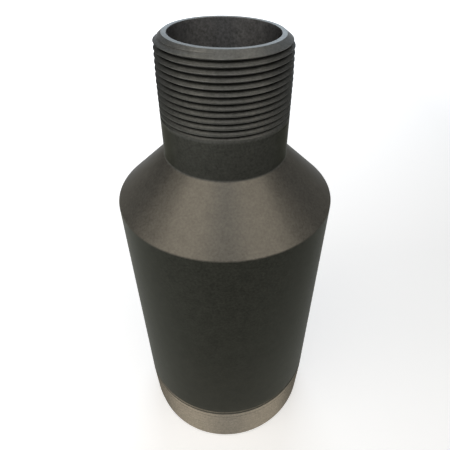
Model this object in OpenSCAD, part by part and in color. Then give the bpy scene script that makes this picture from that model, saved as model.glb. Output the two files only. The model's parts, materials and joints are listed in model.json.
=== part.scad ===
// Concentric swage nipple: a one-piece pipe reducer, threaded at both ends.
// The origin is the centre of the large end's face, and +Z runs along the
// bore to the small end. All sizes are in millimetres.

/* [Large end] */
// Outside diameter of the large end and of the body
large_od = 88.9; // [82:0.1:101.6]
// Wall thickness of the large end
large_wall = 7.62; // [6.5:0.01:9]
// Threads per inch on the large end
large_tpi = 8; // [8:0.5:14]
// Length of the large thread from the end face, run-out included
large_thread_length = 32.2; // [20:0.1:60]
// Turns over which the large thread runs out into the plain pipe
large_runout_turns = 1.5; // [0.5:0.25:3]
// Angle round the axis at which the large thread starts
large_start_angle = 154; // [0:1:359]

/* [Small end] */
// Outside diameter of the small end
small_od = 48.26; // [42:0.01:60.3]
// Wall thickness of the small end
small_wall = 5.08; // [4.4:0.01:7]
// Threads per inch on the small end
small_tpi = 11.5; // [11:0.5:14]
// Length of the small thread from the end face, run-out included
small_thread_length = 29.3; // [16:0.1:34]
// Turns over which the small thread runs out into the plain pipe
small_runout_turns = 1; // [0.5:0.25:3]
// Angle round the axis at which the small thread starts
small_start_angle = 343; // [0:1:359]

/* [Body] */
// Length from end face to end face
overall_length = 203.2; // [190:0.1:260]
// Height of the edge where the cone leaves the body
shoulder_height = 139.9; // [110:0.1:145]
// Angle between the cone and the axis
cone_angle = 46.4; // [40:0.1:60]
// Wall thickness of the cone, measured square to its surface
cone_wall = 7; // [5:0.1:9]

/* [Thread form] */
// Taper of both threads: diameter gained per unit of length
thread_taper = 0.0625; // [0.05:0.0005:0.075]
// Height of the thread as a share of its pitch
thread_height = 0.8; // [0.7:0.01:0.85]
// Step from the end of the run-out up to the plain pipe
runout_step = 0.3; // [0.2:0.05:0.6]
// Distance from the end face to the first groove
thread_start = 0.35; // [0.2:0.05:1]
// Depth of the end chamfer below the thread root
chamfer_depth = 1.05; // [0.2:0.05:1.5]
// Angle between the end chamfer and the axis
chamfer_angle = 53; // [30:1:60]
// Flat facets in one turn of a thread
facets_per_turn = 48; // [24:4:64]

/* [Hidden] */

inch = 25.4;
steel_black = [0.24, 0.24, 0.22];

large_bore_r = large_od / 2 - large_wall;
small_bore_r = small_od / 2 - small_wall;

// The cone falls from the body's edge to the neck, and the bore's own cone
// runs parallel to it, one cone wall further in.
cone_slope = tan(cone_angle);
cone_wall_across = cone_wall / cos(cone_angle);
neck_height = shoulder_height + (large_od - small_od) / 2 / cone_slope;
bore_cone_start = shoulder_height + (large_wall - cone_wall_across) / cone_slope;
bore_cone_end = bore_cone_start + (large_bore_r - small_bore_r) / cone_slope;

// A threaded end reaches this far into the plain pipe.
seat_length = 1;
// A bore's cutter passes each end face by this much.
cut_past = 1;

// Radius of the pitch line at the end face, by the taper pipe thread's formula
function pitch_line_r(od, pitch) = (od - (0.05 * od / inch + 1.1) * pitch) / 2;

// Thread root at a distance z from the end face, rising to the step in the run-out
function root_r(z, od, pitch, length, runout) =
    let (full = length - runout * pitch,
         half = thread_height * pitch / 2,
         cut = pitch_line_r(od, pitch) - half + min(z, full) * thread_taper / 2,
         rise = max(0, od / 2 - runout_step - cut))
    cut + rise * max(0, z - full) / (length - full);

// Thread crest at a distance z from the end face, never above the pipe
function crest_r(z, od, pitch) =
    min(od / 2, pitch_line_r(od, pitch) + thread_height * pitch / 2 + z * thread_taper / 2);

// One point of row number row, counted from the end face: even rows follow the
// groove and odd rows the crest, and the end chamfer cuts across both.
function thread_point(row, angle, od, pitch, length, runout) =
    let (z = thread_start + pitch * (angle / 360 + row / 2),
         face_r = root_r(0, od, pitch, length, runout) - chamfer_depth,
         thread_r = row % 2 == 0 ? root_r(z, od, pitch, length, runout) : crest_r(z, od, pitch),
         r = min(thread_r, face_r + z * tan(chamfer_angle)))
    [r * cos(angle), r * sin(angle), z];

function ring(r, z) =
    [for (i = [0:facets_per_turn - 1])
        let (angle = i * 360 / facets_per_turn)
        [r * cos(angle), r * sin(angle), z]];

// A pipe end with a right-hand taper thread, standing on its end face. Its rows
// climb one pitch a turn, so row k + 2 goes on where row k has come full circle.
module threaded_end(od, tpi, length, runout) {
    pitch = inch / tpi;
    count = facets_per_turn;
    last = count - 1;
    rows = 2 * floor((length - thread_start) / pitch - 1);
    face_r = root_r(0, od, pitch, length, runout) - chamfer_depth;
    inner = count * (rows + 2);
    function at(row, i) = count * (row + 1) + i;
    function quad(a, b, c, d) = [[a, d, c], [a, c, b]];

    points = concat(
        ring(face_r, 0),
        [for (row = [0:rows], i = [0:last])
            thread_point(row, i * 360 / count, od, pitch, length, runout)],
        ring(od / 2 - runout_step, length + seat_length));

    flanks = [for (row = [0:rows - 1], i = [0:last - 1], face =
        quad(at(row, i), at(row, i + 1), at(row + 1, i + 1), at(row + 1, i))) face];
    joined_flanks = [for (row = [0:rows - 3], face =
        quad(at(row, last), at(row + 2, 0), at(row + 3, 0), at(row + 1, last))) face];
    end_strip = [for (i = [0:last - 1], face =
        quad(i, i + 1, at(0, i + 1), at(0, i))) face];
    seat_strip = [for (i = [0:last - 1], face =
        quad(at(rows, i), at(rows, i + 1), inner + i + 1, inner + i)) face];
    thread_begins = [
        [last, at(0, last), 0],
        [0, at(0, last), at(0, 0)],
        [at(0, 0), at(0, last), at(1, 0)],
        [at(1, 0), at(0, last), at(2, 0)]];
    thread_ends = [
        [at(rows - 2, last), at(rows - 1, last), at(rows, 0)],
        [at(rows - 1, last), at(rows, last), at(rows, 0)],
        [at(rows, last), inner + last, at(rows, 0)],
        [inner + last, inner, at(rows, 0)]];
    caps = [[for (i = [0:last]) i], [for (i = [last:-1:0]) inner + i]];

    polyhedron(points, concat(flanks, joined_flanks, end_strip, seat_strip,
        thread_begins, thread_ends, caps), convexity = 10);
}

// The plain body, the cone and the neck, between the two threads
module plain_length() {
    rotate_extrude($fn = 96) polygon([
        [0, large_thread_length],
        [large_od / 2, large_thread_length],
        [large_od / 2, shoulder_height],
        [small_od / 2, neck_height],
        [small_od / 2, overall_length - small_thread_length],
        [0, overall_length - small_thread_length]]);
}

module bore() {
    rotate_extrude($fn = 96) polygon([
        [0, -cut_past],
        [large_bore_r, -cut_past],
        [large_bore_r, bore_cone_start],
        [small_bore_r, bore_cone_end],
        [small_bore_r, overall_length + cut_past],
        [0, overall_length + cut_past]]);
}

module swage_nipple() {
    color(steel_black) difference() {
        union() {
            plain_length();
            rotate(large_start_angle)
                threaded_end(large_od, large_tpi, large_thread_length, large_runout_turns);
            translate([0, 0, overall_length]) rotate(small_start_angle) rotate([180, 0, 0])
                threaded_end(small_od, small_tpi, small_thread_length, small_runout_turns);
        }
        bore();
    }
}

swage_nipple();
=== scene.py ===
"""A turned steel swage nipple with a dark oiled finish, on its large end on a pale studio floor."""
import json
import math

import bpy
import numpy as np
from mathutils import Matrix, Vector


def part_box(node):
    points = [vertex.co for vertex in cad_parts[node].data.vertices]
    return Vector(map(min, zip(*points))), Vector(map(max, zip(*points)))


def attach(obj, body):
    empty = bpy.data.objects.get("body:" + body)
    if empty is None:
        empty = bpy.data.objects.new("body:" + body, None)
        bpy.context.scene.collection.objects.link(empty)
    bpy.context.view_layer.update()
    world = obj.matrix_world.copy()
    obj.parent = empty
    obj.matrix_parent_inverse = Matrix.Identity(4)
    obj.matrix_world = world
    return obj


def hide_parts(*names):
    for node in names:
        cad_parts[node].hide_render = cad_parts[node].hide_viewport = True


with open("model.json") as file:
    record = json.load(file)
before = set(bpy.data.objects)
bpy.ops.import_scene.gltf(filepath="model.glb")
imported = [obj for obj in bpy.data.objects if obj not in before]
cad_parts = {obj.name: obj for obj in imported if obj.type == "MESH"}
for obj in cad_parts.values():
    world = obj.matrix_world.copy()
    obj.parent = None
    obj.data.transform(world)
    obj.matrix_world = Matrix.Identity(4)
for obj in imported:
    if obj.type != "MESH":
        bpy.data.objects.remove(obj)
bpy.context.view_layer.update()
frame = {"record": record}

# Sizes from the frame, in metres
MM = 0.001
MOUNTS = {mount["name"]: mount for mount in frame["record"]["mounts"]}


def mount_radius(name):
    """Radius that the record states for a mount."""
    return MOUNTS[name]["dims"]["r_mm"] * MM


def mount_length(name):
    """Length that the record states for a mount."""
    return MOUNTS[name]["dims"]["length_mm"] * MM


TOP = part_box("swage_nipple")[1][2]
BODY_R = mount_radius("body_outside")
NECK_R = mount_radius("small_thread")
LARGE_BORE_R = mount_radius("large_bore")
SMALL_BORE_R = mount_radius("small_bore")
SHOULDER_Z = MOUNTS["body_outside"]["pos_m"][2] + mount_length("body_outside") / 2
LARGE_BORE_END = mount_length("large_bore")
SMALL_BORE_START = TOP - mount_length("small_bore")

# Form of the cone and the edges
CONE_ANGLE = math.radians(46.4)
NECK_Z = SHOULDER_Z + (BODY_R - NECK_R) / math.tan(CONE_ANGLE)
EDGE_ROUND = 0.4 * MM
ROOT_ROUND = 0.5 * MM
BORE_EDGE_BREAK = 0.15 * MM

# Form of the threads, with the height and the root's flat as shares of the pitch
INCH = 25.4 * MM
TAPER = 1 / 16
THREAD_HEIGHT = 0.8
ROOT_FLAT = 0.02
FLANK_SLOPE = math.sqrt(3)
THREAD_START = 0.35 * MM
CHAMFER_DEPTH = 1.05 * MM
CHAMFER_SLOPE = math.tan(math.radians(53))

# The dark skin's thickness, and its wear as a share of bare metal
SKIN = 0.05 * MM
NECK_WEAR = 0.1
FOOT_WEAR = 0.05
FOOT_WEAR_END = 80 * MM
CREST_WEAR = 0.3

# Grooves turn from skinned to bare between these shares of the thread's height
SKINNED_DEPTH = 0.3
BARE_DEPTH = 0.6

# Finishes of the outline's points: bare, inside, fresh and oiled
SKINNED = (0, 0, 0, 0)
TURNED = (1, 0, 0, 0)
HANDLED = (NECK_WEAR, 0, 0, 1)
SCUFFED = (FOOT_WEAR, 0, 0, 0)
FACED = (1, 0, 1, 1)
BORED = (1, 1, 0, 0)

# Grid that every turned surface shares
COLUMNS = 288
DEGREES_PER_COLUMN = 360 / COLUMNS
WELD = 1e-8

# Grid of a thread: the turns with finer steps, the steps along a flank, and the last step's share of it
CHAMFERED_TURNS = 1.6
CHAMFERED_STEPS = 7
FLANK_STEPS = 3
NEAR_CREST = 0.97
TIE = 1e-6


class ThreadedEnd:
    """A right-hand taper pipe thread, measured by depth, the distance inwards from its end face."""

    def __init__(self, pipe_r, wear, crest_wear, threads_per_inch, length, runout_turns, start_degrees,
                 base_z, upward):
        self.pipe_r = pipe_r
        self.wear = wear
        self.crest_wear = crest_wear
        self.pitch = INCH / threads_per_inch
        self.length = length
        self.runout = runout_turns * self.pitch
        self.start_column = round(start_degrees / DEGREES_PER_COLUMN)
        self.base_z = base_z
        self.upward = upward
        self.height = THREAD_HEIGHT * self.pitch
        self.plain_from = length + self.pitch / 2
        self.root_flat = ROOT_FLAT * self.pitch
        # Pitch line at the end face, by the taper pipe thread's formula
        diameter = 2 * pipe_r
        self.pitch_line_r = (diameter - (0.05 * diameter / INCH + 1.1) * self.pitch) / 2
        self.face_r = self.pitch_line_r - self.height / 2 - CHAMFER_DEPTH

    def crest(self, depth):
        """Crest radius: the pitch line plus half the thread height plus the taper, never above the pipe."""
        return np.minimum(self.pipe_r, self.pitch_line_r + self.height / 2 + depth * TAPER / 2)

    def root(self, depth):
        """Root radius: the crest line less the height, which rises evenly to the pipe over the run-out."""
        full = self.length - self.runout
        cut = self.pitch_line_r - self.height / 2 + np.minimum(depth, full) * TAPER / 2
        risen = np.clip((depth - full) / self.runout, 0, 1)
        return cut + (self.pipe_r - cut) * risen

    def groove_reach(self, centre):
        """Half width of the groove at its crest: the root's flat plus the depth over the flank's slope."""
        return self.root_flat + (self.crest(centre) - self.root(centre)) / FLANK_SLOPE

    def groove(self, depth, turn):
        """Distance from the nearest groove's centre line, and that line's depth, at a fraction of a turn.

        A crest midway between two grooves counts with the one before it.
        """
        place = (depth - THREAD_START) / self.pitch - turn
        nearest = np.ceil(place - 0.5 - TIE)
        return np.abs(place - nearest) * self.pitch, THREAD_START + (nearest + turn) * self.pitch

    def radius(self, depth, turn):
        """Radius at a depth and a fraction of a turn: the groove's V, cut by the crest and the chamfer."""
        away, centre = self.groove(depth, turn)
        flank = self.root(centre) + FLANK_SLOPE * np.maximum(0, away - self.root_flat)
        chamfer = self.face_r + CHAMFER_SLOPE * depth
        return np.minimum(np.minimum(flank, self.crest(depth)), chamfer)

    def patch(self, depth_from, depth_to, flank_steps):
        """Grid of the thread between two depths.

        Rows follow the helix: the groove's centre lies at start + pitch * (turn number + fraction of a turn).
        Each turn has rows at the root's two corners, along both flanks, at the crest's edges and mid-crest,
        and the rows close to the crest keep its skin apart from the flanks.
        Rows that leave the span are held at its limits, so that both ends are plain circles.
        """
        turn = np.arange(COLUMNS) / COLUMNS
        first = math.floor((depth_from - THREAD_START) / self.pitch - 1.5)
        last = math.ceil((depth_to - THREAD_START) / self.pitch + 1.5)
        turns = np.arange(first, last + 1)
        centre = THREAD_START + self.pitch * (turns[:, None, None] + turn[None, None, :])
        reach = self.groove_reach(centre)
        share = np.append(np.linspace(0, NEAR_CREST, flank_steps + 1), 1.0)[None, :, None]
        side = self.root_flat + (reach - self.root_flat) * share
        crest = np.full_like(centre, self.pitch / 2)
        offset = np.concatenate([-side[:, ::-1], side, crest], axis=1)
        depth = np.clip(centre + offset, depth_from, depth_to)
        rows_per_turn = offset.shape[1]
        depth = depth.reshape(-1, COLUMNS)
        radius = self.radius(depth, turn[None, :])
        chamfer = self.face_r + CHAMFER_SLOPE * depth
        outer = np.minimum(self.crest(depth), chamfer)
        _, line = self.groove(depth, turn[None, :])
        deep = np.maximum(self.crest(line) - self.root(line), SKIN)
        hollow = np.clip((outer - radius) / deep, 0, 1)
        clean = np.clip((deep / self.height - SKINNED_DEPTH) / (BARE_DEPTH - SKINNED_DEPTH), 0, 1)
        wear = self.wear + (self.crest_wear - self.wear) * clean
        bare = np.maximum(np.clip((self.pipe_r - radius) / SKIN, 0, 1) * clean, wear)
        way = 1 if self.upward else -1
        columns = (self.start_column + way * np.arange(COLUMNS)) % COLUMNS
        large = 0 * radius + self.upward
        fresh = np.maximum(large, chamfer < self.crest(depth))
        marks = {"hollow": hollow, "bare": bare, "inside": 0 * radius, "fresh": fresh, "oiled": 1 - large}
        return Patch(radius, self.base_z + way * depth, columns, rows_per_turn, marks)


class Patch:
    """A grid of radius and height by row and column that closes round the axis.

    The last column joins the first one shift rows further on: none for rings, one turn's rows for a thread.
    Each point also has marks from 0 to 1: hollow, from a thread's crest to its root; bare, from the dark
    skin to a cut face; inside, in the bore; fresh, on the large thread and the small end's face and chamfer;
    and oiled, on the small end.
    """

    def __init__(self, radius, height, columns, shift, marks):
        self.radius = radius
        self.height = height
        self.columns = columns
        self.shift = shift
        self.marks = marks

    def points(self):
        """Points at radius * (cos, sin) of the column's angle, and at the height."""
        angle = 2 * np.pi * self.columns / COLUMNS
        x = self.radius * np.cos(angle)[None, :]
        y = self.radius * np.sin(angle)[None, :]
        return np.stack([x, y, self.height], axis=-1).reshape(-1, 3)

    def quads(self):
        """Corner numbers of each cell, anticlockwise from outside."""
        rows = self.radius.shape[0]
        row = np.arange(rows - 1)[:, None]
        column = np.arange(COLUMNS)[None, :]
        next_row = row + self.shift * (column == COLUMNS - 1)
        here = row * COLUMNS + column
        beside = next_row * COLUMNS + (column + 1) % COLUMNS
        quads = np.stack([here, beside, beside + COLUMNS, here + COLUMNS], axis=-1)
        return quads[next_row < rows - 1]


def ring_patch(outline):
    """Rings round the axis, one for each (radius, height, bare, inside, fresh, oiled) of an outline."""
    radius, height, *marks = np.repeat(np.asarray(outline).T[:, :, None], COLUMNS, axis=2)
    marks = dict(zip(("bare", "inside", "fresh", "oiled"), marks), hollow=0 * radius)
    return Patch(radius, height, np.arange(COLUMNS), 0, marks)


def rounded(start, corner, end, size, finish_from, finish_to, steps=7):
    """Quadratic curve round a corner of an outline, with its ends a given size from it along both lines.

    The finish blends evenly from the one end's to the other's.
    """
    start, corner, end = (np.array(point) for point in (start, corner, end))
    first = corner + size * (start - corner) / np.linalg.norm(start - corner)
    last = corner + size * (end - corner) / np.linalg.norm(end - corner)
    t = np.linspace(0, 1, steps)[:, None]
    curve = (1 - t) ** 2 * first + 2 * t * (1 - t) * corner + t ** 2 * last
    return np.hstack([curve, (1 - t) * np.array(finish_from) + t * np.array(finish_to)]).tolist()


def closed_mesh(name, patches):
    """One mesh from patches: points that coincide are merged, and cells that this flattens are dropped."""
    points = np.concatenate([patch.points() for patch in patches])
    starts = np.cumsum([0] + [patch.radius.size for patch in patches[:-1]])
    quads = np.concatenate([patch.quads() + start for patch, start in zip(patches, starts)])
    _, first, merged = np.unique(np.round(points / WELD), axis=0, return_index=True, return_inverse=True)
    quads = merged.reshape(-1)[quads]
    triangles = np.concatenate([quads[:, [0, 1, 2]], quads[:, [0, 2, 3]]])
    a, b, c = triangles.T
    triangles = triangles[(a != b) & (b != c) & (c != a)]

    mesh = bpy.data.meshes.new(name)
    mesh.vertices.add(len(first))
    mesh.vertices.foreach_set("co", points[first].ravel())
    mesh.loops.add(triangles.size)
    mesh.loops.foreach_set("vertex_index", triangles.ravel())
    mesh.polygons.add(len(triangles))
    mesh.polygons.foreach_set("loop_start", np.arange(0, triangles.size, 3))
    mesh.update(calc_edges=True)
    mesh.validate()
    for mark in patches[0].marks:
        values = np.concatenate([patch.marks[mark].reshape(-1) for patch in patches])
        mesh.attributes.new(mark, "FLOAT", "POINT").data.foreach_set("value", values[first])
    mesh.polygons.foreach_set("use_smooth", np.ones(len(mesh.polygons), dtype=bool))
    mesh.set_sharp_from_angle(angle=math.radians(25))
    piece = bpy.data.objects.new(name, mesh)
    bpy.context.scene.collection.objects.link(piece)
    return piece


def turned_nipple():
    """The whole fitting as one closed surface: both threads, body, cone, neck and stepped bore."""
    large = ThreadedEnd(
        pipe_r=BODY_R, wear=FOOT_WEAR, crest_wear=FOOT_WEAR, threads_per_inch=8,
        length=mount_length("large_thread"), runout_turns=1.5, start_degrees=154, base_z=0.0, upward=True)
    small = ThreadedEnd(
        pipe_r=NECK_R, wear=NECK_WEAR, crest_wear=CREST_WEAR, threads_per_inch=11.5,
        length=mount_length("small_thread"), runout_turns=1.0, start_degrees=343, base_z=TOP, upward=False)
    body_foot = (BODY_R, large.plain_from)
    body_edge = (BODY_R, SHOULDER_Z)
    neck_foot = (NECK_R, NECK_Z)
    neck_top = (NECK_R, TOP - small.plain_from)
    outside = [
        (*body_foot, *SCUFFED),
        (BODY_R, FOOT_WEAR_END, *SKINNED),
        *rounded(body_foot, body_edge, neck_foot, EDGE_ROUND, SKINNED, TURNED),
        *rounded(body_edge, neck_foot, neck_top, ROOT_ROUND, TURNED, HANDLED),
        (*neck_top, *HANDLED),
    ]
    inside = [
        (small.face_r, TOP, *FACED),
        (SMALL_BORE_R + BORE_EDGE_BREAK, TOP, *FACED),
        (SMALL_BORE_R, TOP - BORE_EDGE_BREAK, *BORED),
        (SMALL_BORE_R, SMALL_BORE_START, *BORED),
        (LARGE_BORE_R, LARGE_BORE_END, *BORED),
        (LARGE_BORE_R, BORE_EDGE_BREAK, *BORED),
        (LARGE_BORE_R + BORE_EDGE_BREAK, 0, *TURNED),
        (large.face_r, 0, *TURNED),
    ]
    patches = [ring_patch(outside), ring_patch(inside)]
    for end in (large, small):
        chamfered = CHAMFERED_TURNS * end.pitch
        patches.append(end.patch(0.0, chamfered, CHAMFERED_STEPS))
        patches.append(end.patch(chamfered, end.plain_from, FLANK_STEPS))
    return closed_mesh("turned_nipple", patches)


# Colours of the metal, each from the darkest to the palest of its grain
SKIN_TONES = (0.0174, 0.0180, 0.0149), (0.0430, 0.0443, 0.0366)
# The next two are partly cut metal and partly painted light: paler for the light from above on the upward
# cone and thread flanks
TURNED_AND_TOP_LIT_TONES = (0.126, 0.118, 0.102), (0.210, 0.198, 0.171)
LARGE_THREAD_AND_TOP_LIT_TONES = (0.211, 0.193, 0.161), (0.352, 0.322, 0.268)
SMALL_THREAD_TONES = (0.159, 0.161, 0.152), (0.268, 0.270, 0.255)
BORE_TONES = (0.150, 0.151, 0.154), (0.340, 0.342, 0.348)

# Painted shade with some oil grime deep in the grooves, the share of a groove's depth over which it thickens,
# and how much of it covers each end
GROOVE_SHADE_AND_GRIME = (0.022, 0.022, 0.019)
SHADE_AND_GRIME_DEPTH = 0.45, 0.9
LARGE_END_SHADE_AND_GRIME = 0.15
SMALL_END_SHADE_AND_GRIME = 0.88

# Tints of what each zone mirrors at a grazing angle
SKIN_EDGE = (0.77, 0.78, 0.74)
NECK_EDGE = (0.48, 0.48, 0.45)
TURNED_EDGE = (0.38, 0.38, 0.38)
LARGE_THREAD_EDGE = (0.04, 0.04, 0.04)
FACED_EDGE = (0.8, 0.8, 0.8)
BORE_EDGE = (0.0, 0.0, 0.0)

# Gloss of the metal
SKIN_ROUGHNESS = 0.48
TURNED_ROUGHNESS = 0.42
ROUGHNESS_SPREAD = 0.04
BORE_METALLIC = 0.85

# Patterns on the metal: noise cells per metre, shares of a mix, and the part of the noise's range in use
GRAIN_SCALE = 1100.0
CLOUD_SCALE = 260.0
CLOUD_SHARE = 0.25
TOOL_LINE_SCALE = 2600.0
TOOL_LINE_SHARE = 0.4
RING_STRETCH = 0.05
RELIEF_HEIGHT = 0.03 * MM
NOISE_RANGE = 0.3, 0.7

# Colours of the lamps, and their distance from the middle of the fitting
WARM = (1.0, 0.93, 0.83)
COOL = (0.76, 0.87, 1.0)
LAMP_DISTANCE = 1.2


def add_node(tree, kind, inputs=(), **settings):
    """A node with its settings, and with each input set to a value or linked to a socket."""
    node = tree.nodes.new(kind)
    for name, value in settings.items():
        setattr(node, name, value)
    for name, value in dict(inputs).items():
        if isinstance(value, bpy.types.NodeSocket):
            tree.links.new(value, node.inputs[name])
        else:
            node.inputs[name].default_value = value
    return node


def math_node(tree, operation, *values):
    """Output of a Math node on sockets or numbers."""
    node = add_node(tree, "ShaderNodeMath", enumerate(values), operation=operation)
    return node.outputs[0]


def noise(tree, vector, scale, detail=3.0, roughness=0.5):
    """Output of a noise pattern on a vector, from 0 to 1."""
    inputs = {"Vector": vector, "Scale": scale, "Detail": detail, "Roughness": roughness}
    return add_node(tree, "ShaderNodeTexNoise", inputs).outputs["Fac"]


def span(tree, value, low, high, to_low, to_high):
    """A value mapped from low..high to to_low..to_high, held at both ends."""
    inputs = {"Value": value, "From Min": low, "From Max": high, "To Min": to_low, "To Max": to_high}
    return add_node(tree, "ShaderNodeMapRange", inputs).outputs["Result"]


def blend_colour(tree, factor, low, high):
    """Mix of two colours by a factor."""
    node = tree.nodes.new("ShaderNodeMix")
    node.data_type = "RGBA"
    tree.links.new(factor, node.inputs["Factor"])
    for name, value in (("A", low), ("B", high)):
        socket = [entry for entry in node.inputs if entry.name == name and entry.type == "RGBA"][0]
        if isinstance(value, bpy.types.NodeSocket):
            tree.links.new(value, socket)
        else:
            socket.default_value = (*value, 1.0)
    return [entry for entry in node.outputs if entry.type == "RGBA"][0]


def steel_colour(tree, tone, marks):
    """Colour by zone: skin, or cut metal with painted light from above, outside; dull metal in the bore;
    painted shade and grime deep in the grooves.
    """
    skin = blend_colour(tree, tone, *SKIN_TONES)
    # The turned and large thread colours carry painted light from above on the cone and the large thread
    turned = blend_colour(tree, tone, *TURNED_AND_TOP_LIT_TONES)
    large_thread = blend_colour(tree, tone, *LARGE_THREAD_AND_TOP_LIT_TONES)
    small_thread = blend_colour(tree, tone, *SMALL_THREAD_TONES)
    bored = blend_colour(tree, tone, *BORE_TONES)
    cut = blend_colour(tree, marks["fresh"], turned, large_thread)
    cut = blend_colour(tree, marks["oiled"], cut, small_thread)
    colour = blend_colour(tree, marks["bare"], skin, cut)
    colour = blend_colour(tree, marks["inside"], colour, bored)
    # Painted shade, with some oil grime: the colour darkens deep in the grooves, most on the small end
    deep = span(tree, marks["hollow"], *SHADE_AND_GRIME_DEPTH, 0.0, 1.0)
    share = span(tree, marks["oiled"], 0.0, 1.0, LARGE_END_SHADE_AND_GRIME, SMALL_END_SHADE_AND_GRIME)
    return blend_colour(tree, math_node(tree, "MULTIPLY", deep, share), colour, GROOVE_SHADE_AND_GRIME)


def steel_edge_tint(tree, marks):
    """Tint by zone of what a face mirrors at a grazing angle."""
    skinned = blend_colour(tree, marks["oiled"], SKIN_EDGE, NECK_EDGE)
    cut = blend_colour(tree, marks["fresh"], TURNED_EDGE, LARGE_THREAD_EDGE)
    tint = blend_colour(tree, span(tree, marks["bare"], NECK_WEAR, 1.0, 0.0, 1.0), skinned, cut)
    faced = math_node(tree, "MULTIPLY", marks["fresh"], marks["oiled"])
    tint = blend_colour(tree, faced, tint, FACED_EDGE)
    return blend_colour(tree, marks["inside"], tint, BORE_EDGE)


def tool_lines(tree, place):
    """Fine rings round the axis: noise drawn out round it, along the height less the radius."""
    x, y, z = add_node(tree, "ShaderNodeSeparateXYZ", {"Vector": place}).outputs
    across = math_node(tree, "ADD", math_node(tree, "MULTIPLY", x, x), math_node(tree, "MULTIPLY", y, y))
    along = math_node(tree, "SUBTRACT", z, math_node(tree, "SQRT", across))
    rings_at = add_node(tree, "ShaderNodeCombineXYZ", {
        "X": math_node(tree, "MULTIPLY", x, RING_STRETCH),
        "Y": math_node(tree, "MULTIPLY", y, RING_STRETCH),
        "Z": along}).outputs[0]
    return noise(tree, rings_at, TOOL_LINE_SCALE, 2.0)


def oiled_black_steel():
    """Steel with a dark oxide skin, paler where it was cut and with painted light from above, and dull in the
    bore.

    It has a fine grain with soft clouds, and a faint relief of tool lines and grain.
    """
    material = bpy.data.materials.new("oiled_black_steel")
    material.use_nodes = True
    tree = material.node_tree
    shader = tree.nodes["Principled BSDF"]
    place = add_node(tree, "ShaderNodeTexCoord").outputs["Object"]
    marks = {name: add_node(tree, "ShaderNodeAttribute", attribute_name=name).outputs["Fac"]
             for name in ("hollow", "bare", "inside", "fresh", "oiled")}

    grain = noise(tree, place, GRAIN_SCALE, 3.0, 0.6)
    clouds = noise(tree, place, CLOUD_SCALE, 4.0, 0.55)
    tone = math_node(tree, "ADD", math_node(tree, "MULTIPLY", clouds, CLOUD_SHARE),
                     math_node(tree, "MULTIPLY", grain, 1 - CLOUD_SHARE))
    tone = span(tree, tone, *NOISE_RANGE, 0.0, 1.0)
    tree.links.new(steel_colour(tree, tone, marks), shader.inputs["Base Color"])

    smooth = math_node(tree, "MULTIPLY", marks["bare"], math_node(tree, "SUBTRACT", 1.0, marks["oiled"]))
    rough = math_node(tree, "ADD", span(tree, smooth, 0.0, 1.0, SKIN_ROUGHNESS, TURNED_ROUGHNESS),
                      span(tree, grain, *NOISE_RANGE, -ROUGHNESS_SPREAD, ROUGHNESS_SPREAD))
    tree.links.new(rough, shader.inputs["Roughness"])
    tree.links.new(span(tree, marks["inside"], 0.0, 1.0, 1.0, BORE_METALLIC), shader.inputs["Metallic"])
    tree.links.new(steel_edge_tint(tree, marks), shader.inputs["Specular Tint"])
    shader.inputs["Anisotropic"].default_value = 0.6
    shader.inputs["Anisotropic Rotation"].default_value = 0.25
    tangent = add_node(tree, "ShaderNodeTangent", direction_type="RADIAL", axis="Z")
    tree.links.new(tangent.outputs["Tangent"], shader.inputs["Tangent"])

    relief = math_node(tree, "ADD", math_node(tree, "MULTIPLY", tool_lines(tree, place), TOOL_LINE_SHARE),
                       math_node(tree, "MULTIPLY", grain, 1 - TOOL_LINE_SHARE))
    bump = add_node(tree, "ShaderNodeBump", {"Strength": 0.25, "Distance": RELIEF_HEIGHT, "Height": relief})
    tree.links.new(bump.outputs["Normal"], shader.inputs["Normal"])
    return material


def seen_directly(tree):
    """1 for rays from the camera, from a mirror-like face or through glass, and 0 for the rest."""
    path = add_node(tree, "ShaderNodeLightPath")
    seen = math_node(tree, "MAXIMUM", path.outputs["Is Camera Ray"], path.outputs["Is Glossy Ray"])
    return math_node(tree, "MAXIMUM", seen, path.outputs["Is Transmission Ray"])


def pale_floor(glow_left, glow_right, glow_back):
    """A pale floor that fills the camera's view, with white added where it is seen directly.

    The white falls from left to right past the fitting, a painted light that pales the fitting's reflections
    on its left, and grows towards the back, where the lamps reach less.
    """
    half = 6.0
    mesh = bpy.data.meshes.new("floor")
    corners = [(-half, -half, 0), (half, -half, 0), (half, half, 0), (-half, half, 0)]
    mesh.from_pydata(corners, [], [(0, 1, 2, 3)])
    floor = bpy.data.objects.new("floor", mesh)
    bpy.context.scene.collection.objects.link(floor)
    material = bpy.data.materials.new("pale_floor")
    material.use_nodes = True
    tree = material.node_tree
    shader = tree.nodes["Principled BSDF"]
    shader.inputs["Base Color"].default_value = (0.9, 0.9, 0.9, 1.0)
    shader.inputs["Roughness"].default_value = 0.9
    shader.inputs["Specular IOR Level"].default_value = 0.0
    shader.inputs["Emission Color"].default_value = (1.0, 1.0, 1.0, 1.0)
    place = add_node(tree, "ShaderNodeTexCoord").outputs["Object"]
    x, y, _ = add_node(tree, "ShaderNodeSeparateXYZ", {"Vector": place}).outputs
    # Painted light: more glow on the left pales the fitting's reflections on that side
    glow = math_node(tree, "ADD", span(tree, x, -0.3, 0.3, glow_left, glow_right),
                     span(tree, y, 0.1, 1.0, 0.0, glow_back))
    glow = math_node(tree, "MULTIPLY", seen_directly(tree), glow)
    tree.links.new(glow, shader.inputs["Emission Strength"])
    mesh.materials.append(material)


def studio_world(ambient):
    """Even light from all round."""
    world = bpy.data.worlds.new("studio")
    world.use_nodes = True
    background = world.node_tree.nodes["Background"]
    background.inputs["Color"].default_value = (1.0, 1.0, 1.0, 1.0)
    background.inputs["Strength"].default_value = ambient
    bpy.context.scene.world = world


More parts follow.
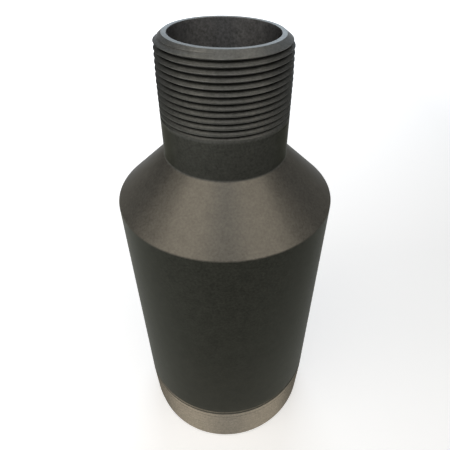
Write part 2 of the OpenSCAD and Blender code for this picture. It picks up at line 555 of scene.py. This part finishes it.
def softbox(name, azimuth, elevation, size, radiance, colour=(1.0, 1.0, 1.0)):
    """A square lamp that faces the fitting, its azimuth counted from the camera's side towards +X."""
    lamp = bpy.data.lights.new(name, "AREA")
    lamp.shape = "SQUARE"
    lamp.size = size
    lamp.energy = radiance * math.pi * size * size
    lamp.color = colour
    box = bpy.data.objects.new(name, lamp)
    across, up = math.radians(azimuth), math.radians(elevation)
    way = Vector((math.sin(across) * math.cos(up), -math.cos(across) * math.cos(up), math.sin(up)))
    box.location = Vector((0.0, 0.0, TOP / 2)) + LAMP_DISTANCE * way
    box.rotation_euler = (-way).to_track_quat("-Z", "Y").to_euler()
    bpy.context.scene.collection.objects.link(box)


def photo_camera():
    """Camera at the photo's viewpoint, from a fit to the object's edges in a 450 by 450 frame."""
    distance, height = 0.1393, 0.2377
    pitch, yaw, roll = math.radians(38.22), math.radians(-3.36), math.radians(1.52)
    focal_pixels, frame_pixels = 395.5, 450
    centre_across, centre_down = 244.5, 209.3
    data = bpy.data.cameras.new("photo_camera")
    data.sensor_width = 36.0
    data.lens = data.sensor_width * focal_pixels / frame_pixels
    data.shift_x = 0.5 - centre_across / frame_pixels
    data.shift_y = centre_down / frame_pixels - 0.5
    data.clip_start = 0.01
    camera = bpy.data.objects.new("photo_camera", data)
    aim = Matrix.Rotation(yaw, 4, "Z") @ Matrix.Rotation(math.pi / 2 - pitch, 4, "X")
    turn = aim @ Matrix.Rotation(roll, 4, "Z")
    camera.matrix_world = Matrix.Translation((0.0, -distance, height)) @ turn
    bpy.context.scene.collection.objects.link(camera)
    bpy.context.scene.camera = camera


nipple = turned_nipple()
nipple.data.materials.append(oiled_black_steel())
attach(nipple, "root")
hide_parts("swage_nipple")

# Painted light: the floor glows more on the left, for paler reflections on the fitting's left side
pale_floor(glow_left=0.68, glow_right=0.18, glow_back=0.6)
studio_world(ambient=0.22)
softbox("front_left", -48, 46, 0.9, 1.45, WARM)
softbox("front_right", 46, 46, 0.9, 1.25, WARM)
softbox("side_left", -86, 34, 0.6, 0.6, WARM)
softbox("side_right", 82, 34, 0.6, 0.3, WARM)
softbox("front_high", 0, 58, 0.5, 1.15)
softbox("back", 176, 34, 0.7, 2.9, COOL)
photo_camera()
bpy.context.scene.view_settings.view_transform = "Standard"
